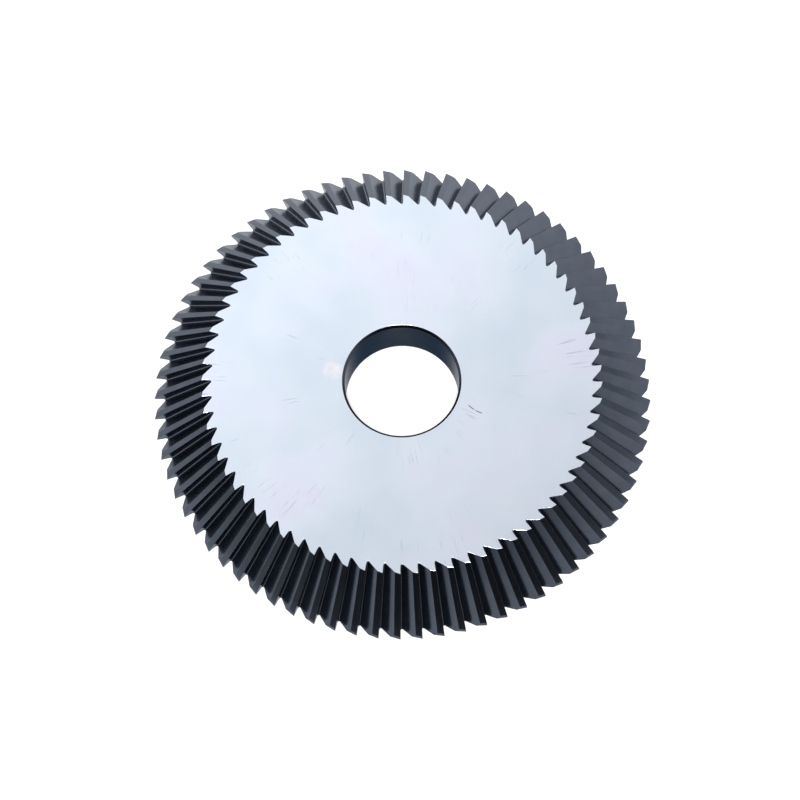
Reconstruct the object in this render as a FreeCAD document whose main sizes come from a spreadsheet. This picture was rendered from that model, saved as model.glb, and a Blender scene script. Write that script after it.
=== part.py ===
"""Key machine cutter: a single-angle milling cutter with 72 straight teeth, in one piece.

The cutter lies on its wide back face, which is the plane Z = 0. Its axis is +Z, and the
small polished face looks up. One cutting edge lies over the +X axis.
All lengths are in millimetres and all angles in degrees.

It is made in the order in which the real one is made: the blank is turned, one flute is
milled, the land of that tooth is ground back, and both cuts are indexed round the blank.
"""
import FreeCAD
import Part
import os

import Sketcher

CUTTER_NAME = "cutter"
PARTS_FOLDER = "parts"

# The driving dimensions, written once. Every feature below is bound to these cells.
SIZES = (
    ("outer_diameter", 70.4, "over the teeth, at the wide back face"),
    ("thickness", 8.2, "from the back face to the polished face"),
    ("bore_diameter", 16, "plain hole for the arbor of the machine"),
    ("bore_chamfer", 0.35, "45 degree lead-in at each end of the bore"),
    ("flank_angle", 42.5, "between the toothed flank and the axis"),
    ("nose_radius", 0.8, "rounds the flank into the outer diameter"),
    ("rim_width", 0.1, "straight part of the outer diameter, next to the back face"),
    ("tooth_count", 72, "teeth, equally spaced"),
    ("land_width", 0.77, "ground top of a tooth, at the polished face"),
    ("relief_angle", 17, "fall of the land behind the cutting edge"),
    ("flute_form_angle", 58, "between the two sides of a flute"),
    ("flute_dip", 1.8, "how much steeper a flute sinks than the flank"),
    ("gullet_radius", 0.2, "round at the bottom of a flute"),
    ("grinding_stock", 0.02, "left on the blank, and ground off with the land"),
    ("run_out", 1, "how far a cut starts and ends outside the blank"),
)

# What follows from the driving dimensions, as expressions on the same cells.
PITCH_ANGLE = "(360 / sizes.tooth_count)"
OUTER_RADIUS = "(sizes.outer_diameter / 2)"
BORE_RADIUS = "(sizes.bore_diameter / 2)"
CHAMFER_RADIUS = f"({BORE_RADIUS} + sizes.bore_chamfer)"
FLANK_SLOPE = "tan(sizes.flank_angle)"
RELIEF_SLOPE = "tan(sizes.relief_angle)"

# The nose touches the rim and the flank at this distance from the corner that it rounds.
NOSE_TANGENT = "(sizes.nose_radius * tan(sizes.flank_angle / 2))"
CORNER_HEIGHT = f"(sizes.rim_width + {NOSE_TANGENT})"
NOSE_TOP_RADIUS = f"({OUTER_RADIUS} - {NOSE_TANGENT} * sin(sizes.flank_angle))"
NOSE_TOP_HEIGHT = f"({CORNER_HEIGHT} + {NOSE_TANGENT} * cos(sizes.flank_angle))"
TIP_RADIUS = f"({OUTER_RADIUS} - (sizes.thickness - {CORNER_HEIGHT}) * {FLANK_SLOPE})"

# A flute is a straight groove. Its two sides meet in a line that leans with the flank.
FLUTE_ANGLE = "(sizes.flank_angle - sizes.flute_dip)"
BACK_SLOPE = f"(1 / tan(sizes.flute_form_angle) / cos({FLUTE_ANGLE}))"
HEEL_RADIUS = f"({TIP_RADIUS} - sizes.land_width * {RELIEF_SLOPE})"
HEEL_X = f"({HEEL_RADIUS} * cos({PITCH_ANGLE}) + sizes.land_width * sin({PITCH_ANGLE}))"
HEEL_Y = f"({HEEL_RADIUS} * sin({PITCH_ANGLE}) - sizes.land_width * cos({PITCH_ANGLE}))"
GULLET_CORNER = f"({HEEL_X} - {HEEL_Y} * {BACK_SLOPE})"
FLUTE_DEPTH = (
    f"(({TIP_RADIUS} - {GULLET_CORNER}"
    f" + sizes.thickness * ({FLANK_SLOPE} - tan({FLUTE_ANGLE}))) * cos({FLUTE_ANGLE}))"
)
FLUTE_HEIGHT = f"({FLUTE_DEPTH} + sizes.run_out / 2)"
FLUTE_LENGTH = (
    f"((sizes.thickness + {FLUTE_HEIGHT} * sin({FLUTE_ANGLE})) / cos({FLUTE_ANGLE})"
    f" + 2 * sizes.run_out)"
)

# The ground land ends over the flute behind it, before it reaches the next tooth.
PITCH_CHORD = f"({TIP_RADIUS} * sin({PITCH_ANGLE}))"
LAND_REACH = f"(0.9 * {PITCH_CHORD})"
LAND_LEAD = f"(0.05 * {PITCH_CHORD})"

# How the sketcher counts: the origin of a sketch, and the two ends of a line or an arc.
SKETCH_ORIGIN = (-1, 1)
START, END = (1, 2)


def make_sheet(doc):
    """Put the driving dimensions in the spreadsheet, one row each, with an alias."""
    sheet = doc.addObject("Spreadsheet::Sheet", "sizes")
    for row, (alias, value, meaning) in enumerate(SIZES, start=1):
        sheet.set(f"A{row}", alias)
        sheet.set(f"B{row}", str(value))
        sheet.set(f"C{row}", meaning)
        sheet.setAlias(f"B{row}", alias)
    doc.recompute()
    return sheet


def origin_feature(body, role):
    """Find one of the body's own origin planes or axes."""
    return next(item for item in body.Origin.OriginFeatures if item.Role == role)


def add_sketch(body, name, plane):
    """Start a sketch that is attached to one of the body's origin planes."""
    sketch = body.newObject("Sketcher::SketchObject", name)
    sketch.AttachmentSupport = [(origin_feature(body, plane), "")]
    sketch.MapMode = "FlatFace"
    return sketch


def bind_distance(sketch, kind, name, ends, expression):
    """Add one dimension to a sketch and bind it to an expression on the sheet."""
    value = float(sketch.evalExpression(expression))
    index = sketch.addConstraint(Sketcher.Constraint(kind, *ends, value))
    sketch.renameConstraint(index, name)
    sketch.setExpression(f"Constraints.{name}", expression)


def arc_through(start, end, radius):
    """Make the short arc that turns left on its way from start to end."""
    chord = end - start
    to_centre = FreeCAD.Vector(-chord.y, chord.x, 0).normalize()
    rise = (radius ** 2 - (chord.Length / 2) ** 2) ** 0.5
    centre = (start + end) / 2 + to_centre * rise
    bulge = centre - to_centre * radius
    return Part.Arc(start, bulge, end)


def draw_outline(sketch, corners, arc_from, arc_radius):
    """Draw a closed outline through named corners, each held by two bound distances.

    Its sides are straight, but for an arc that starts at the corner called arc_from.
    """
    places = [
        FreeCAD.Vector(*(float(sketch.evalExpression(place)) for place in corner[1:]), 0)
        for corner in corners
    ]
    sides = []
    for number, (name, across, up) in enumerate(corners):
        following = places[(number + 1) % len(places)]
        if name == arc_from:
            radius = float(sketch.evalExpression(arc_radius))
            side = sketch.addGeometry(arc_through(places[number], following, radius))
            bind_distance(sketch, "Radius", f"{name}_radius", (side,), arc_radius)
        else:
            side = sketch.addGeometry(Part.LineSegment(places[number], following))
        sides.append(side)
    for number, (name, across, up) in enumerate(corners):
        side = sides[number]
        sketch.addConstraint(Sketcher.Constraint("Coincident", sides[number - 1], END, side, START))
        ends = (*SKETCH_ORIGIN, side, START)
        bind_distance(sketch, "DistanceX", f"{name}_across", ends, across)
        bind_distance(sketch, "DistanceY", f"{name}_up", ends, up)


def flank_corners(stock, shift="0"):
    """Give the corners from the rim up to the top of the nose.

    The stock is left on all round, square to the surface. The shift moves them outwards.
    """
    return [
        ("rim_top", f"{OUTER_RADIUS} + {stock} + {shift}", "sizes.rim_width"),
        (
            "nose_top",
            f"{NOSE_TOP_RADIUS} + {stock} * cos(sizes.flank_angle) + {shift}",
            f"{NOSE_TOP_HEIGHT} + {stock} * sin(sizes.flank_angle)",
        ),
    ]


def turn_blank(body):
    """Turn the blank with its bore, both lead-ins, the flank, the nose and the rim."""
    sketch = add_sketch(body, "blank_section", "XZ_Plane")
    stock = "sizes.grinding_stock"
    corners = [
        ("back_inner", CHAMFER_RADIUS, "0"),
        ("back_outer", f"{OUTER_RADIUS} + {stock}", "0"),
        *flank_corners(stock),
        ("face_outer", f"{TIP_RADIUS} + {stock} / cos(sizes.flank_angle)", "sizes.thickness"),
        ("face_inner", CHAMFER_RADIUS, "sizes.thickness"),
        ("bore_top", BORE_RADIUS, "sizes.thickness - sizes.bore_chamfer"),
        ("bore_bottom", BORE_RADIUS, "sizes.bore_chamfer"),
    ]
    draw_outline(sketch, corners, "rim_top", f"sizes.nose_radius + {stock}")
    blank = body.newObject("PartDesign::Revolution", "blank")
    blank.Profile = sketch
    blank.ReferenceAxis = (sketch, ["V_Axis"])
    blank.Angle = 360
    return blank


def mill_flute(body):
    """Mill one flute in front of the tooth on +X, with its steep side in the plane Y = 0.

    The sketch stands square to the flute: its X is the height over the gullet.
    """
    sketch = add_sketch(body, "flute_section", "XY_Plane")
    downwards = FreeCAD.Vector(0, -1, 0)
    sketch.AttachmentOffset = FreeCAD.Placement(
        FreeCAD.Vector(0, 0, 0),
        FreeCAD.Rotation(downwards, float(sketch.evalExpression(FLUTE_ANGLE))),
    )
    offset = "AttachmentOffset"
    sketch.setExpression(
        f"{offset}.Base.x", f"{GULLET_CORNER} - sizes.run_out * sin({FLUTE_ANGLE})")
    sketch.setExpression(
        f"{offset}.Base.z", f"sizes.thickness + sizes.run_out * cos({FLUTE_ANGLE})")
    sketch.setExpression(f"{offset}.Rotation.Angle", FLUTE_ANGLE)

    tangent = "(sizes.gullet_radius / tan(sizes.flute_form_angle / 2))"
    corners = [
        (
            "back_foot",
            f"{tangent} * cos(sizes.flute_form_angle)",
            f"{tangent} * sin(sizes.flute_form_angle)",
        ),
        ("rake_foot", tangent, "0"),
        ("rake_top", FLUTE_HEIGHT, "0"),
        ("back_top", FLUTE_HEIGHT, f"{FLUTE_HEIGHT} * tan(sizes.flute_form_angle)"),
    ]
    draw_outline(sketch, corners, "back_foot", "sizes.gullet_radius")
    flute = body.newObject("PartDesign::Pocket", "flute")
    flute.Profile = sketch
    flute.setExpression("Length", FLUTE_LENGTH)
    return flute


def grind_land(body):
    """Grind the top of the tooth on +X, so that it falls away behind the cutting edge."""
    sketch = add_sketch(body, "land_section", "XZ_Plane")
    sketch.setExpression("AttachmentOffset.Base.z", f"-{LAND_LEAD}")
    shift = f"{LAND_LEAD} * {RELIEF_SLOPE}"
    outside = f"{OUTER_RADIUS} + sizes.run_out + {shift}"
    above = "sizes.thickness + sizes.run_out"
    corners = [
        ("rim_end", f"{OUTER_RADIUS} + {shift}", "-sizes.run_out"),
        *flank_corners("0", shift),
        ("flank_end", f"{TIP_RADIUS} - sizes.run_out * {FLANK_SLOPE} + {shift}", above),
        ("far_top", f"{TIP_RADIUS} + {shift}", above),
        ("far_middle", outside, f"{CORNER_HEIGHT}"),
        ("far_bottom", outside, "-sizes.run_out"),
    ]
    draw_outline(sketch, corners, "rim_top", "sizes.nose_radius")
    land = body.newObject("PartDesign::Pocket", "land")
    land.Profile = sketch
    land.UseCustomVector = True
    land.Direction = FreeCAD.Vector(0, -1, 0)
    land.setExpression("Direction.x", f"-{RELIEF_SLOPE}")
    land.AlongSketchNormal = True
    land.setExpression("Length", f"{LAND_LEAD} + {LAND_REACH}")
    return land


def index_teeth(body, cuts):
    """Repeat the cuts of one tooth all round the blank."""
    teeth = body.newObject("PartDesign::PolarPattern", "teeth")
    teeth.Originals = cuts
    teeth.Axis = (origin_feature(body, "Z_Axis"), [""])
    teeth.Angle = 360
    teeth.setExpression("Occurrences", "sizes.tooth_count")
    body.Tip = teeth
    return teeth


def check_states(doc):
    """Stop if any object of the model failed or has no valid shape."""
    for item in doc.Objects:
        if "Invalid" in item.State or "Error" in item.State:
            raise RuntimeError(f"{item.Name} did not compute: {item.State}")
        shape = getattr(item, "Shape", None)
        if item.isDerivedFrom("PartDesign::Feature") and (shape.isNull() or not shape.isValid()):
            raise RuntimeError(f"{item.Name} has no valid shape")


def check_cuts(blank, flute, land, teeth, tooth_count):
    """Compare volumes: each cut takes something away, and the pattern repeats both.

    A land cut also sweeps through the next flute, so its own share counts once at most.
    """
    by_flute = blank.Shape.Volume - flute.Shape.Volume
    by_land = flute.Shape.Volume - land.Shape.Volume
    by_all = blank.Shape.Volume - teeth.Shape.Volume
    print(f"one flute takes {by_flute:.3f}, one land {by_land:.4f}, all {by_all:.1f} mm3")
    if by_flute <= 0 or by_land <= 0:
        raise RuntimeError("a cut of the first tooth takes nothing away")
    if not tooth_count * by_flute < by_all < tooth_count * (by_flute + by_land):
        raise RuntimeError("the pattern doesn't repeat both cuts on every tooth")


def build():
    """Build the cutter and write it as a STEP file."""
    os.makedirs(PARTS_FOLDER, exist_ok=True)
    doc = FreeCAD.newDocument("key_machine_cutter")
    sheet = make_sheet(doc)
    body = doc.addObject("PartDesign::Body", CUTTER_NAME)
    body.Label = CUTTER_NAME

    blank = turn_blank(body)
    flute = mill_flute(body)
    land = grind_land(body)
    teeth = index_teeth(body, [flute, land])
    doc.recompute()

    check_states(doc)
    check_cuts(blank, flute, land, teeth, sheet.tooth_count)
    body.Shape.exportStep(os.path.join(PARTS_FOLDER, f"{body.Label}.step"))
    box = body.Shape.optimalBoundingBox()
    print(f"{body.Label}: {box.XLength:.3f} x {box.YLength:.3f} x {box.ZLength:.3f} mm,")
    print(f"volume {body.Shape.Volume:.1f} mm3, {len(body.Shape.Faces)} faces")


build()
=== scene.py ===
# %% [markdown]
# # Key machine cutter
#
# A key machine copies a key with a small milling cutter like this one. It is a flat disc of
# high-speed steel with a plain hole for the spindle, and its teeth stand on a conical flank.
# The shape comes from the CAD model, in metres, so nothing has to be measured again here.
# The box of that model is kept, and gives the cutter's thickness.

import math

import bmesh
import bpy
from mathutils import Matrix, Vector


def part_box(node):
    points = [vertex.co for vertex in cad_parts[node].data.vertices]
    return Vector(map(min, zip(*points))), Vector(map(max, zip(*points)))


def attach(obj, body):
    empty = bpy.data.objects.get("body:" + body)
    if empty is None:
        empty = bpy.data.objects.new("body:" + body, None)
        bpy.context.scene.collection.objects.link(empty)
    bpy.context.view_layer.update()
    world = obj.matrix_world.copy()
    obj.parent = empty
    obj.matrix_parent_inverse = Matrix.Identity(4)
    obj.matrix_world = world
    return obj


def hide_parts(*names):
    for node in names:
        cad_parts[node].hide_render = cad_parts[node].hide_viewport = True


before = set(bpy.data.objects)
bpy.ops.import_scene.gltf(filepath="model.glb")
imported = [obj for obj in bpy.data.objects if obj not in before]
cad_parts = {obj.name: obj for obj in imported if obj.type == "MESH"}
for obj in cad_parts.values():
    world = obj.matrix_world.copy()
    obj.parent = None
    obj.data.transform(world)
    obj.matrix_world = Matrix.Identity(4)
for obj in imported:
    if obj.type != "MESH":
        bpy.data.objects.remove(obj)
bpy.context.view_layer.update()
MM = 0.001
low, high = (Vector(corner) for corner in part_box("cutter"))
THICKNESS = high.z
print("cutter, in mm:", [round(side / MM, 2) for side in high - low])

# %% [markdown]
# ## Colours and nodes
#
# A colour picker shows sRGB values, and Blender's shaders reckon in linear light. One
# function turns a hex colour into linear numbers, so every colour below can be checked with
# a picker. A second one adds a shader node and sets it up in one line.

# %% Two small helpers
def linear(hex_colour):
    """Turn an sRGB hex colour, such as 5a5f66, into linear red, green, blue and alpha."""
    channels = [int(hex_colour[i : i + 2], 16) / 255 for i in (0, 2, 4)]
    light = [c / 12.92 if c <= 0.04045 else ((c + 0.055) / 1.055) ** 2.4 for c in channels]
    return (*light, 1.0)


def add_node(tree, kind, inputs=(), **settings):
    """Add a node, change its settings, and fill or link its inputs."""
    node = tree.nodes.new(kind)
    for name, value in settings.items():
        setattr(node, name, value)
    for name, value in dict(inputs).items():
        if isinstance(value, bpy.types.NodeSocket):
            tree.links.new(value, node.inputs[name])
        else:
            node.inputs[name].default_value = value
    return node


print("mid grey 808080 is", round(linear("808080")[0], 3), "in linear light")

# %% [markdown]
# ## The camera
#
# The photograph looks down on the cutter from the front, 19 degrees off its axis, through a
# long lens that hardly shows any perspective. The camera is worked out from that tilt and
# from the place of the face's centre in the picture. It is turned a little round the axis,
# which brings the teeth to where the photograph has them: one tooth is repeated all round,
# so a turn of less than a pitch is enough.

# %% Camera
PICTURE_SIDE = 800  # pixels
SENSOR = 36.0  # mm
DISTANCE_IN_PIXELS = 3599.0  # the camera's distance, and its focal length, both in pixels
PIXELS_PER_MM = 7.156  # at the polished face
FACE_CENTRE = (401.82, 380.82)  # pixels from the top left corner of the picture
TILT = math.radians(18.99)
TILT_AXIS = math.radians(1.72)
TOOTH_TURN = math.radians(0.30)

camera_data = bpy.data.cameras.new("camera")
camera_data.sensor_width = SENSOR
camera_data.lens = SENSOR * DISTANCE_IN_PIXELS / PICTURE_SIDE
camera_data.clip_start = 0.01
camera_data.clip_end = 20
camera = bpy.data.objects.new("camera", camera_data)
bpy.context.collection.objects.link(camera)
bpy.context.scene.camera = camera

to_the_side = FACE_CENTRE[0] - PICTURE_SIDE / 2
upwards = PICTURE_SIDE / 2 - FACE_CENTRE[1]
pixel = MM / PIXELS_PER_MM
seen_from_camera = Vector((to_the_side, upwards, -DISTANCE_IN_PIXELS)) * pixel
tilt_line = Vector((math.cos(TILT_AXIS), math.sin(TILT_AXIS), 0))
turn = Matrix.Rotation(TOOTH_TURN, 4, "Z") @ Matrix.Rotation(TILT, 4, tilt_line)
face_centre = Matrix.Translation((0, 0, THICKNESS))
camera.matrix_world = face_centre @ turn @ Matrix.Translation(-seen_from_camera)
print("camera at", [round(v, 3) for v in camera.matrix_world.translation], "m")

# %% [markdown]
# ## The floor and the light
#
# The cutter lies on a sheet of white paper that burns out: a broad lamp near the camera
# shines on it, and light comes through it from below, which keeps it white in the bore too,
# where the steel around it takes light away. Steel mirrors the floor far away as well, so
# the sheet is just larger than the picture, and the pale table round it is dimmer.
#
# The rest of the light comes from everywhere, as in a light tent, but not evenly: steel is a
# mirror, and its looks are those of the room. The tent is brightest behind the cutter and to
# the left, and dim low down on the side of the camera, where a black lens and a person would
# be. So the face comes out bright, more so at its upper left, and the front flank comes out
# nearly black.

# %% Paper and table
SHEET_SIDE = 136  # mm, just larger than the picture
SHEET_THICKNESS = 0.3  # mm
SHEET_COLOUR = "cfcfce"
SHEET_GLOW = 0.5  # the light that comes through the paper
TABLE_SIDE = 2400  # mm
TABLE_COLOUR = "a9abad"
DULL_ROUGHNESS = 0.9
DULL_SHINE = 0.2


def lay_sheet(name, side, height, hex_colour, glow):
    """Lay a square of a dull material under the cutter, its top at a height in mm."""
    mesh = bpy.data.meshes.new(name)
    shape = bmesh.new()
    bmesh.ops.create_grid(shape, x_segments=1, y_segments=1, size=side * MM / 2)
    shape.to_mesh(mesh)
    shape.free()
    sheet = bpy.data.objects.new(name, mesh)
    sheet.location.z = height * MM
    bpy.context.collection.objects.link(sheet)
    material = bpy.data.materials.new(name)
    material.use_nodes = True
    shader = material.node_tree.nodes["Principled BSDF"]
    shader.inputs["Base Color"].default_value = linear(hex_colour)
    shader.inputs["Roughness"].default_value = DULL_ROUGHNESS
    shader.inputs["Specular IOR Level"].default_value = DULL_SHINE
    shader.inputs["Emission Color"].default_value = linear("ffffff")
    shader.inputs["Emission Strength"].default_value = glow
    mesh.materials.append(material)


lay_sheet("white_paper_lit_from_below", SHEET_SIDE, 0.0, SHEET_COLOUR, glow=SHEET_GLOW)
lay_sheet("pale_table", TABLE_SIDE, -SHEET_THICKNESS, TABLE_COLOUR, glow=0.0)
print("paper:", SHEET_SIDE, "mm wide, on a table of", TABLE_SIDE, "mm")

# %% The lamp beside the camera
LAMP_STRENGTH = 2.7  # W/m2 on the paper
LAMP_WIDTH = math.radians(6)  # as seen from the cutter


def add_lamp():
    """Shine a broad lamp along the camera's line of sight, so that no shadow shows."""
    data = bpy.data.lights.new("broad_lamp", "SUN")
    data.energy = LAMP_STRENGTH
    data.angle = LAMP_WIDTH
    lamp = bpy.data.objects.new("broad_lamp", data)
    lamp.matrix_world = turn
    bpy.context.collection.objects.link(lamp)


add_lamp()
print("lamp:", LAMP_STRENGTH, "W/m2,", round(math.degrees(LAMP_WIDTH)), "degrees wide")

# %% The tent's light, by direction
LOW_BRIGHT_SIDE = (0.10, 0.995, 0.0)  # behind the cutter
TOP_BRIGHT_SIDE = (-0.58, 0.81, 0.0)  # behind the cutter and to the left
LOW_DIM, LOW_BRIGHT = 0.03, 1.0  # near the horizon: in front, and on the bright side
TOP_DIM, TOP_BRIGHT = 0.35, 1.85  # overhead: away from the bright side, and on it
LOW_LEANING = (-0.85, 0.25)  # where the low light begins to grow, and where it is full
TOP_LEANING = (0.10, 0.43)  # the same overhead
TOP_HEIGHT = (0.45, 0.90)  # where the low light ends, and where only the top light is left
TENT_COLOUR = "f9fbff"

world = bpy.data.worlds.new("light_tent")
bpy.context.scene.world = world
world.use_nodes = True
sky = world.node_tree
sky.nodes.clear()
direction = add_node(sky, "ShaderNodeTexCoord").outputs["Generated"]
UP = (0.0, 0.0, 1.0)


def light_towards(side, dark_from, bright_from, dim, bright, curve="SMOOTHSTEP"):
    """Go from a dim to a bright light, the more a direction leans to the given side."""
    leaning = add_node(
        sky, "ShaderNodeVectorMath", {0: direction, 1: side}, operation="DOT_PRODUCT"
    )
    bounds = {"From Min": dark_from, "From Max": bright_from, "To Min": dim, "To Max": bright}
    value = {"Value": leaning.outputs["Value"], **bounds}
    return add_node(sky, "ShaderNodeMapRange", value, interpolation_type=curve).outputs["Result"]


low_light = light_towards(LOW_BRIGHT_SIDE, *LOW_LEANING, LOW_DIM, LOW_BRIGHT)
top_light = light_towards(TOP_BRIGHT_SIDE, *TOP_LEANING, TOP_DIM, TOP_BRIGHT, curve="LINEAR")
height = light_towards(UP, *TOP_HEIGHT, 0.0, 1.0)
strength = add_node(
    sky, "ShaderNodeMix", {"Factor": height, "A": low_light, "B": top_light}, data_type="FLOAT"
)
glow = add_node(
    sky,
    "ShaderNodeBackground",
    {"Color": linear(TENT_COLOUR), "Strength": strength.outputs["Result"]},
)
add_node(sky, "ShaderNodeOutputWorld", {"Surface": glow.outputs["Background"]})
bpy.context.scene.view_settings.view_transform = "Standard"
print("tent: low", LOW_DIM, "to", LOW_BRIGHT, "and overhead", TOP_DIM, "to", TOP_BRIGHT)

# %% [markdown]
# ## Black-oxide high-speed steel
#
# After hardening, the whole cutter goes into a hot blackening bath. This leaves a film of
# magnetite on the milled steel, a few thousandths of a millimetre thick: a dark, slightly
# blue metal with a satin gloss. It is a metal with a dark base colour, so it has no white
# highlight as black paint has. Bare steel turns into a mirror when it is seen at a flat
# angle, and the film doesn't, so its reflection there is held down with the tint. The
# milling left fine lines along each flute, which are drawn as noise that is stretched along
# the flank. The bore has its own copy of the film, set to how bright the shaded bore looks:
# a little lighter than the flank where it is seen straight on, and with a darker tint at a
# flat angle, which is how most of it is seen. That darker tint is painted shade in the bore.

# %% Black oxide
OXIDE_COLOUR = "4f555f"
OXIDE_DEEP = "41464f"
FLANK_TINT = "dcdee2"  # what the film reflects at a flat angle, next to bare steel
# The bore's copy of the film: its darker tint at a flat angle is painted shade in the bore.
BORE_COLOUR = "5c5f62"
BORE_DEEP = "525558"
BORE_PAINTED_SHADE_TINT = "8a8f98"
CLOUD_SIZE = 2.5  # mm, patches of thicker and thinner film
LINE_RADIUS = 32  # mm, the middle of the flank
LINE_PITCH = 0.12  # mm between milling lines at that radius
LINE_LENGTH = 6.0  # mm
LINE_BUMP, LINE_DEPTH = 0.15, 0.02  # share, and mm
OXIDE_ROUGHNESS = (0.17, 0.26)


def lines_round_axis(tree, place, lines_per_radian, run, length):
    """Give a place for noise that turns its patches into lines, side by side round the axis."""
    axes = add_node(tree, "ShaderNodeSeparateXYZ", {"Vector": place}).outputs
    angle = add_node(tree, "ShaderNodeMath", {0: axes["Y"], 1: axes["X"]}, operation="ARCTAN2")
    scales = ((angle.outputs["Value"], lines_per_radian), (run, 1 / (length * MM)))
    across, along = (
        add_node(tree, "ShaderNodeMath", {0: value, 1: scale}, operation="MULTIPLY").outputs[0]
        for value, scale in scales
    )
    return add_node(tree, "ShaderNodeCombineXYZ", {"X": across, "Y": along}).outputs["Vector"]


def make_black_oxide(name, deep, colour_of_film, flat_tint):
    """Dark satin steel with faint clouds and milling lines along the flank."""
    material = bpy.data.materials.new(name)
    material.use_nodes = True
    tree = material.node_tree
    shader = tree.nodes["Principled BSDF"]
    shader.inputs["Metallic"].default_value = 1.0
    shader.inputs["Specular Tint"].default_value = linear(flat_tint)

    place = add_node(tree, "ShaderNodeTexCoord").outputs["Object"]
    clouds = add_node(
        tree,
        "ShaderNodeTexNoise",
        {"Vector": place, "Scale": 1 / (CLOUD_SIZE * MM), "Detail": 3.0},
    )
    mix = {"Factor": clouds.outputs["Fac"], "A": linear(deep), "B": linear(colour_of_film)}
    colour = add_node(tree, "ShaderNodeMix", mix, data_type="RGBA")
    tree.links.new(colour.outputs["Result"], shader.inputs["Base Color"])

    height = add_node(tree, "ShaderNodeSeparateXYZ", {"Vector": place}).outputs["Z"]
    lines_place = lines_round_axis(tree, place, LINE_RADIUS / LINE_PITCH, height, LINE_LENGTH)
    lines = add_node(
        tree, "ShaderNodeTexNoise", {"Vector": lines_place, "Scale": 1.0, "Detail": 2.0}
    ).outputs["Fac"]
    smooth, rough = OXIDE_ROUGHNESS
    roughness = add_node(
        tree, "ShaderNodeMapRange", {"Value": lines, "To Min": smooth, "To Max": rough}
    )
    tree.links.new(roughness.outputs["Result"], shader.inputs["Roughness"])
    relief = {"Height": lines, "Strength": LINE_BUMP, "Distance": LINE_DEPTH * MM}
    bump = add_node(tree, "ShaderNodeBump", relief)
    tree.links.new(bump.outputs["Normal"], shader.inputs["Normal"])
    return material


black_oxide = make_black_oxide(
    "black_oxide_high_speed_steel", OXIDE_DEEP, OXIDE_COLOUR, FLANK_TINT
)
# The bore's copy of the film, with painted shade in its flat-angle tint.
bore_oxide_painted_shade = make_black_oxide("black_oxide_bore_painted_shade", BORE_DEEP, BORE_COLOUR, BORE_PAINTED_SHADE_TINT)
print("made", black_oxide.name, "and", bore_oxide_painted_shade.name)

# %% [markdown]
# ## Ground steel
#
# The faces are ground last, to bring the cutter to its thickness, and the wheel takes the
# black film off them. What shows is bare steel with a soft sheen, a little bluish from the
# room. Handling leaves its marks: cloudy smears of oil, a few groups of faint scratches that
# run outwards from the bore, a rub mark left of the bore, and one dark hairline right of it,
# which is the one mark of this cutter that catches the eye.

# %% Ground steel
GROUND_COLOUR = "d9e0e8"
GROUND_SHADE = "ccd5df"
SMEAR_COLOUR = "d8d9e6"  # oil, slightly violet
MARK_COLOUR = "b3bfcc"
RUB_COLOUR = "f3e9e4"  # dried oil, slightly warm
HAIRLINE_COLOUR = "24272c"
SCRATCH_RADIUS = 20  # mm, the middle of the face
SCRATCH_PITCH = 0.30  # mm at that radius, coarser than the wheel's real grit, so that it shows
SCRATCH_LENGTH = 4.0  # mm
SCRATCH_RANGE = (0.60, 0.75)  # the noise values where a scratch begins, and where it is full
RUB_PLACE, RUB_RADIUS = (-9.7, 1.6), 1.9  # mm from the axis, and mm
HAIRLINE = ((9.2, -3.5), (10.2, -4.3), (11.3, -4.8))  # mm from the axis
HAIRLINE_WIDTH = 0.14  # mm
GROUND_ROUGHNESS = (0.19, 0.22)

# Patches: mm across, and the noise values where one begins and where it is full.
SHADE_PATCHES = (12, 0.3, 0.7)
SMEAR_PATCHES = (11, 0.5, 0.75)
RAGGED_PATCHES = (1.5, 0.3, 0.6)  # in the rub mark
GROUP_PATCHES = (5, 0.52, 0.62)  # where the scratches lie
WIPED_PATCHES = (9, 0.35, 0.7)  # where the sheen is softer


def noise_on(tree, place, size_mm, low, high, detail=2.0):
    """Give a noise with patches of a real size, stretched to run from 0 to 1."""
    patches = {"Vector": place, "Scale": 1 / (size_mm * MM), "Detail": detail}
    noise = add_node(tree, "ShaderNodeTexNoise", patches)
    value = {"Value": noise.outputs["Fac"], "From Min": low, "From Max": high}
    return add_node(tree, "ShaderNodeMapRange", value).outputs["Result"]


def line_on(tree, place, start, end, width):
    """Give 1 on a thin straight line between two points of the face, and 0 elsewhere."""
    start, end = (Vector((*point, 0)) * MM for point in (start, end))
    along = (end - start).normalized()
    across = Vector((-along.y, along.x, 0))
    from_middle = add_node(
        tree, "ShaderNodeVectorMath", {0: place, 1: (start + end) / 2}, operation="SUBTRACT"
    ).outputs["Vector"]
    masks = []
    for axis, reach in ((along, (end - start).length / 2), (across, width * MM / 2)):
        distance = add_node(
            tree, "ShaderNodeVectorMath", {0: from_middle, 1: axis}, operation="DOT_PRODUCT"
        )
        distance = add_node(
            tree, "ShaderNodeMath", {0: distance.outputs["Value"]}, operation="ABSOLUTE"
        )
        value = {"Value": distance.outputs["Value"], "From Min": reach, "From Max": reach / 2}
        masks.append(add_node(tree, "ShaderNodeMapRange", value).outputs["Result"])
    return add_node(
        tree, "ShaderNodeMath", dict(enumerate(masks)), operation="MULTIPLY"
    ).outputs["Value"]


def spot_on(tree, place, centre, radius):
    """Give a soft round spot on the polished face, with ragged edges."""
    centre = Vector((*centre, THICKNESS / MM)) * MM
    distance = add_node(tree, "ShaderNodeVectorMath", {0: place, 1: centre}, operation="DISTANCE")
    value = {"Value": distance.outputs["Value"], "From Min": radius * MM, "From Max": 0.0}
    spot = add_node(tree, "ShaderNodeMapRange", value, interpolation_type="SMOOTHSTEP")
    ragged = noise_on(tree, place, *RAGGED_PATCHES)
    return add_node(
        tree, "ShaderNodeMath", {0: spot.outputs["Result"], 1: ragged}, operation="MULTIPLY"
    ).outputs["Value"]


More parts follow.
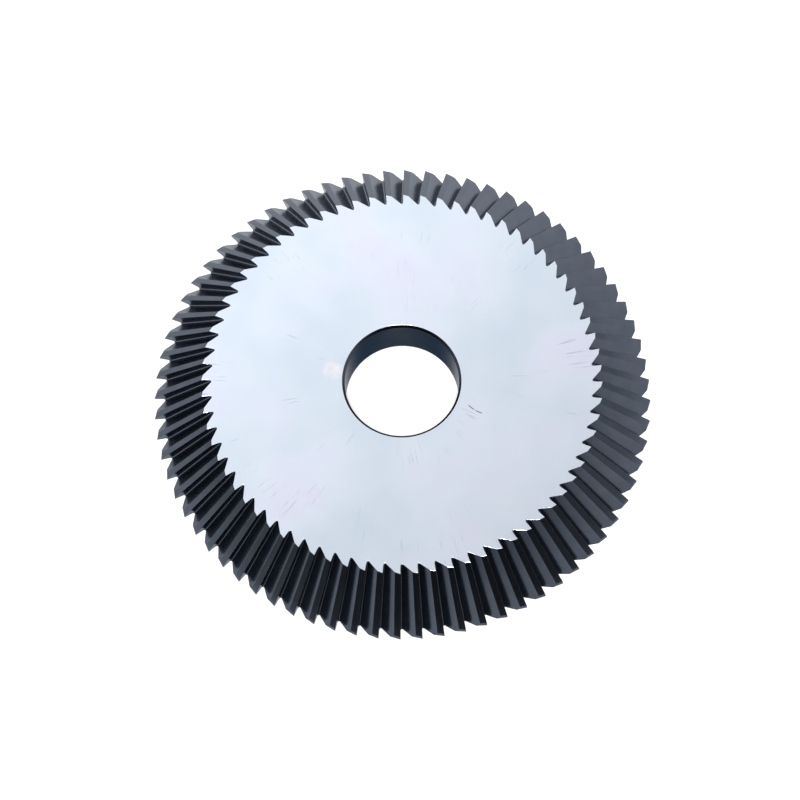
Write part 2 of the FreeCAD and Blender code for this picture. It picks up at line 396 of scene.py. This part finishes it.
def tinted(tree, colour, share, hex_colour):
    """Mix a colour into another one, by a share."""
    mix = {"Factor": share, "A": colour, "B": linear(hex_colour)}
    return add_node(tree, "ShaderNodeMix", mix, data_type="RGBA").outputs["Result"]


def make_ground_steel():
    """Bright bare steel with soft clouds, smears, fine scratches and one hairline."""
    material = bpy.data.materials.new("ground_high_speed_steel")
    material.use_nodes = True
    tree = material.node_tree
    shader = tree.nodes["Principled BSDF"]
    shader.inputs["Metallic"].default_value = 1.0

    place = add_node(tree, "ShaderNodeTexCoord").outputs["Object"]
    shades = noise_on(tree, place, *SHADE_PATCHES)
    colour = tinted(tree, linear(GROUND_SHADE), shades, GROUND_COLOUR)
    colour = tinted(tree, colour, noise_on(tree, place, *SMEAR_PATCHES), SMEAR_COLOUR)
    colour = tinted(tree, colour, spot_on(tree, place, RUB_PLACE, RUB_RADIUS), RUB_COLOUR)

    radius = add_node(tree, "ShaderNodeVectorMath", {0: place}, operation="LENGTH")
    lines_per_radian = SCRATCH_RADIUS / SCRATCH_PITCH
    outwards = lines_round_axis(
        tree, place, lines_per_radian, radius.outputs["Value"], SCRATCH_LENGTH
    )
    marks = noise_on(tree, outwards, 1 / MM, *SCRATCH_RANGE, detail=3.0)
    groups = noise_on(tree, place, *GROUP_PATCHES)
    marks = add_node(tree, "ShaderNodeMath", {0: marks, 1: groups}, operation="MULTIPLY")
    colour = tinted(tree, colour, marks.outputs["Value"], MARK_COLOUR)
    for start, end in zip(HAIRLINE, HAIRLINE[1:]):
        line = line_on(tree, place, start, end, HAIRLINE_WIDTH)
        colour = tinted(tree, colour, line, HAIRLINE_COLOUR)
    tree.links.new(colour, shader.inputs["Base Color"])

    wiped = noise_on(tree, place, *WIPED_PATCHES)
    smooth, rough = GROUND_ROUGHNESS
    roughness = add_node(
        tree, "ShaderNodeMapRange", {"Value": wiped, "To Min": smooth, "To Max": rough}
    )
    tree.links.new(roughness.outputs["Result"], shader.inputs["Roughness"])
    return material


ground_steel = make_ground_steel()
print("made", ground_steel.name)

# %% [markdown]
# ## The dressed cutter
#
# No real edge is perfectly sharp, and it is the tiny round along an edge that catches the
# light. The CAD triangles are too long and thin to be rounded well, so the cutter is made
# again from the same sizes, as one grid of four-sided faces that is wrapped round like the
# skin of a ring doughnut. A row of the grid runs once round the axis, and each tooth has
# the same few columns: its edge, the foot of its steep side, the round of the gullet, the
# foot of the next tooth's back, and the heel where that back meets the ground land.

# %% The cutter's own sizes, in mm, with its angles in radians, as in the CAD model
TEETH = 72
PITCH = 2 * math.pi / TEETH
OUTER_RADIUS = 35.2
HEIGHT = 8.2
BORE_RADIUS = 8.0
BORE_CHAMFER = 0.35
FLANK_ANGLE = math.radians(42.5)
NOSE_RADIUS = 0.8
RIM_WIDTH = 0.1
LAND_WIDTH = 0.77
RELIEF = math.tan(math.radians(17))  # how much a land falls for each mm behind its edge
FLUTE_FORM = math.radians(58)
FLUTE_DIP = math.radians(1.8)  # how much steeper a flute's bottom is than the flank
FLUTE_ANGLE = FLANK_ANGLE - FLUTE_DIP
GULLET_RADIUS = 0.2

nose_tangent = NOSE_RADIUS * math.tan(FLANK_ANGLE / 2)
corner_height = RIM_WIDTH + nose_tangent
TIP_RADIUS = OUTER_RADIUS - (HEIGHT - corner_height) * math.tan(FLANK_ANGLE)
print("teeth:", TEETH, "with their tips", round(TIP_RADIUS, 2), "mm from the axis")


# %% The line that the cutting edges follow, from the back face up to the polished face
NOSE_STEPS = 8
FLANK_STEPS = 5


def edge_line():
    """Give radius and height of the cutting edge: rim, round nose, straight flank."""
    line = [(OUTER_RADIUS, 0.0)]
    for step in range(NOSE_STEPS + 1):
        angle = FLANK_ANGLE * step / NOSE_STEPS
        radius = OUTER_RADIUS - NOSE_RADIUS * (1 - math.cos(angle))
        line.append((radius, RIM_WIDTH + NOSE_RADIUS * math.sin(angle)))
    nose_end = line[-1]
    for step in range(1, FLANK_STEPS + 1):
        share = step / FLANK_STEPS
        radius = nose_end[0] + (TIP_RADIUS - nose_end[0]) * share
        line.append((radius, nose_end[1] + (HEIGHT - nose_end[1]) * share))
    return line


print("edge line:", [(round(r, 2), round(z, 2)) for r, z in edge_line()])


# %% One tooth, cut square to the axis
GULLET_STEPS = 8
POINTS_PER_TOOTH = GULLET_STEPS + 3  # the edge, both ends and the steps of the round, the heel
back_slope = 1 / math.tan(FLUTE_FORM) / math.cos(FLUTE_ANGLE)
foot = GULLET_RADIUS / math.tan(FLUTE_FORM / 2)


def heel_distance(edge_radius, corner_radius):
    """How far behind its edge a land meets the back, where the gullet's corner is given."""
    slope, turned = back_slope, (math.cos(PITCH), math.sin(PITCH))
    missing = corner_radius - edge_radius * (turned[0] - slope * turned[1])
    return missing / (
        turned[1] - RELIEF * turned[0] + slope * (RELIEF * turned[1] + turned[0])
    )


heel_radius = TIP_RADIUS - LAND_WIDTH * RELIEF
heel_x = heel_radius * math.cos(PITCH) + LAND_WIDTH * math.sin(PITCH)
heel_y = heel_radius * math.sin(PITCH) - LAND_WIDTH * math.cos(PITCH)
GULLET_CORNER = heel_x - heel_y * back_slope


def tooth_section(edge_radius, height):
    """Give the points of one tooth at a height, from its edge to the next one's heel."""
    corner = GULLET_CORNER + (HEIGHT - height) * math.tan(FLUTE_ANGLE)
    points = [(edge_radius, 0.0)]
    for step in range(GULLET_STEPS + 1):
        angle = math.radians(270) - (math.pi - FLUTE_FORM) * step / GULLET_STEPS
        rise = foot + GULLET_RADIUS * math.cos(angle)
        aside = GULLET_RADIUS * (1 + math.sin(angle))
        points.append((corner + rise / math.cos(FLUTE_ANGLE), aside))
    behind = heel_distance(edge_radius, corner)
    heel = (edge_radius - behind * RELIEF, -behind)
    x = heel[0] * math.cos(PITCH) - heel[1] * math.sin(PITCH)
    y = heel[0] * math.sin(PITCH) + heel[1] * math.cos(PITCH)
    points.append((x, y))
    return points


print("land at the polished face:", round(heel_distance(TIP_RADIUS, GULLET_CORNER), 3), "mm")


# %% The rows of the grid
FACE_RING = 26.3  # mm, just inside the gullets at the polished face
BACK_RING = 33.2  # mm, just inside the gullets at the back face
EDGE_SHIFT = math.radians(0.25)  # keeps the ring's first point off the tooth's steep side


def toothed_row(edge_radius, height):
    """One row that follows all teeth."""
    row = []
    for tooth in range(TEETH):
        turned = Matrix.Rotation(tooth * PITCH, 3, "Z")
        for x, y in tooth_section(edge_radius, height):
            row.append(turned @ Vector((x, y, height)))
    return row


def round_row(radius, height):
    """One row on a circle, with its points under those of the teeth."""
    row = []
    for number, point in enumerate(toothed_row(TIP_RADIUS, HEIGHT)):
        angle = math.atan2(point.y, point.x)
        if number % POINTS_PER_TOOTH == 0:
            angle -= EDGE_SHIFT
        row.append(Vector((radius * math.cos(angle), radius * math.sin(angle), height)))
    return row


def all_rows():
    """Rows up the flank, in over the polished face, down the bore and out underneath."""
    rows = [toothed_row(radius, height) for radius, height in edge_line()]
    lead_in = BORE_RADIUS + BORE_CHAMFER
    rows.append(round_row(FACE_RING, HEIGHT))
    rows.append(round_row(lead_in, HEIGHT))
    rows.append(round_row(BORE_RADIUS, HEIGHT - BORE_CHAMFER))
    rows.append(round_row(BORE_RADIUS, BORE_CHAMFER))
    rows.append(round_row(lead_in, 0.0))
    rows.append(round_row(BACK_RING, 0.0))
    return rows


rows = all_rows()
print("grid:", len(rows), "rows of", len(rows[0]), "points")


# %% Join the rows into one closed skin
def skin_of(rows):
    """Make a mesh from rows of points, closed both ways."""
    shape = bmesh.new()
    grid = [[shape.verts.new(point * MM) for point in row] for row in rows]
    count = len(rows[0])
    for below, above in zip(grid, grid[1:] + grid[:1]):
        for number in range(count):
            following = (number + 1) % count
            shape.faces.new((below[number], below[following], above[following], above[number]))
    bmesh.ops.recalc_face_normals(shape, faces=shape.faces)
    mesh = bpy.data.meshes.new("dressed_cutter")
    shape.to_mesh(mesh)
    shape.free()
    return mesh


FLAT = 0.999  # how far up or down the normal of a ground face points, at least
WALL_REACH = (BORE_RADIUS + BORE_CHAMFER / 4) * MM  # the bore's wall without its lead-ins
FLANK, GROUND, BORE = range(3)  # the cutter's three finishes, in the order of their slots

cutter = bpy.data.objects.new("dressed_cutter", skin_of(rows))
bpy.context.collection.objects.link(cutter)
for material in (black_oxide, ground_steel, bore_oxide_painted_shade):
    cutter.data.materials.append(material)
for face in cutter.data.polygons:
    face.material_index = GROUND if abs(face.normal.z) > FLAT else FLANK
    # The bore's wall takes the copy of the film whose darker flat-angle tint is painted shade.
    if face.center.xy.length < WALL_REACH:
        face.material_index = BORE
    face.use_smooth = True
print("dressed cutter:", len(cutter.data.polygons), "faces before its edges are rounded")

# %% Round the edges
EDGE_ROUND = 0.035  # mm
SHARP = math.radians(17)  # the heel turns by about 22 degrees

rounding = cutter.modifiers.new("edge_round", "BEVEL")
rounding.width = EDGE_ROUND * MM
rounding.segments = 2
rounding.limit_method = "ANGLE"
rounding.angle_limit = SHARP
rounding.use_clamp_overlap = False
rounding.harden_normals = True
print("edges rounded to", EDGE_ROUND, "mm")

# %% Hang the piece on the frame
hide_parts("cutter")
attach(cutter, "root")
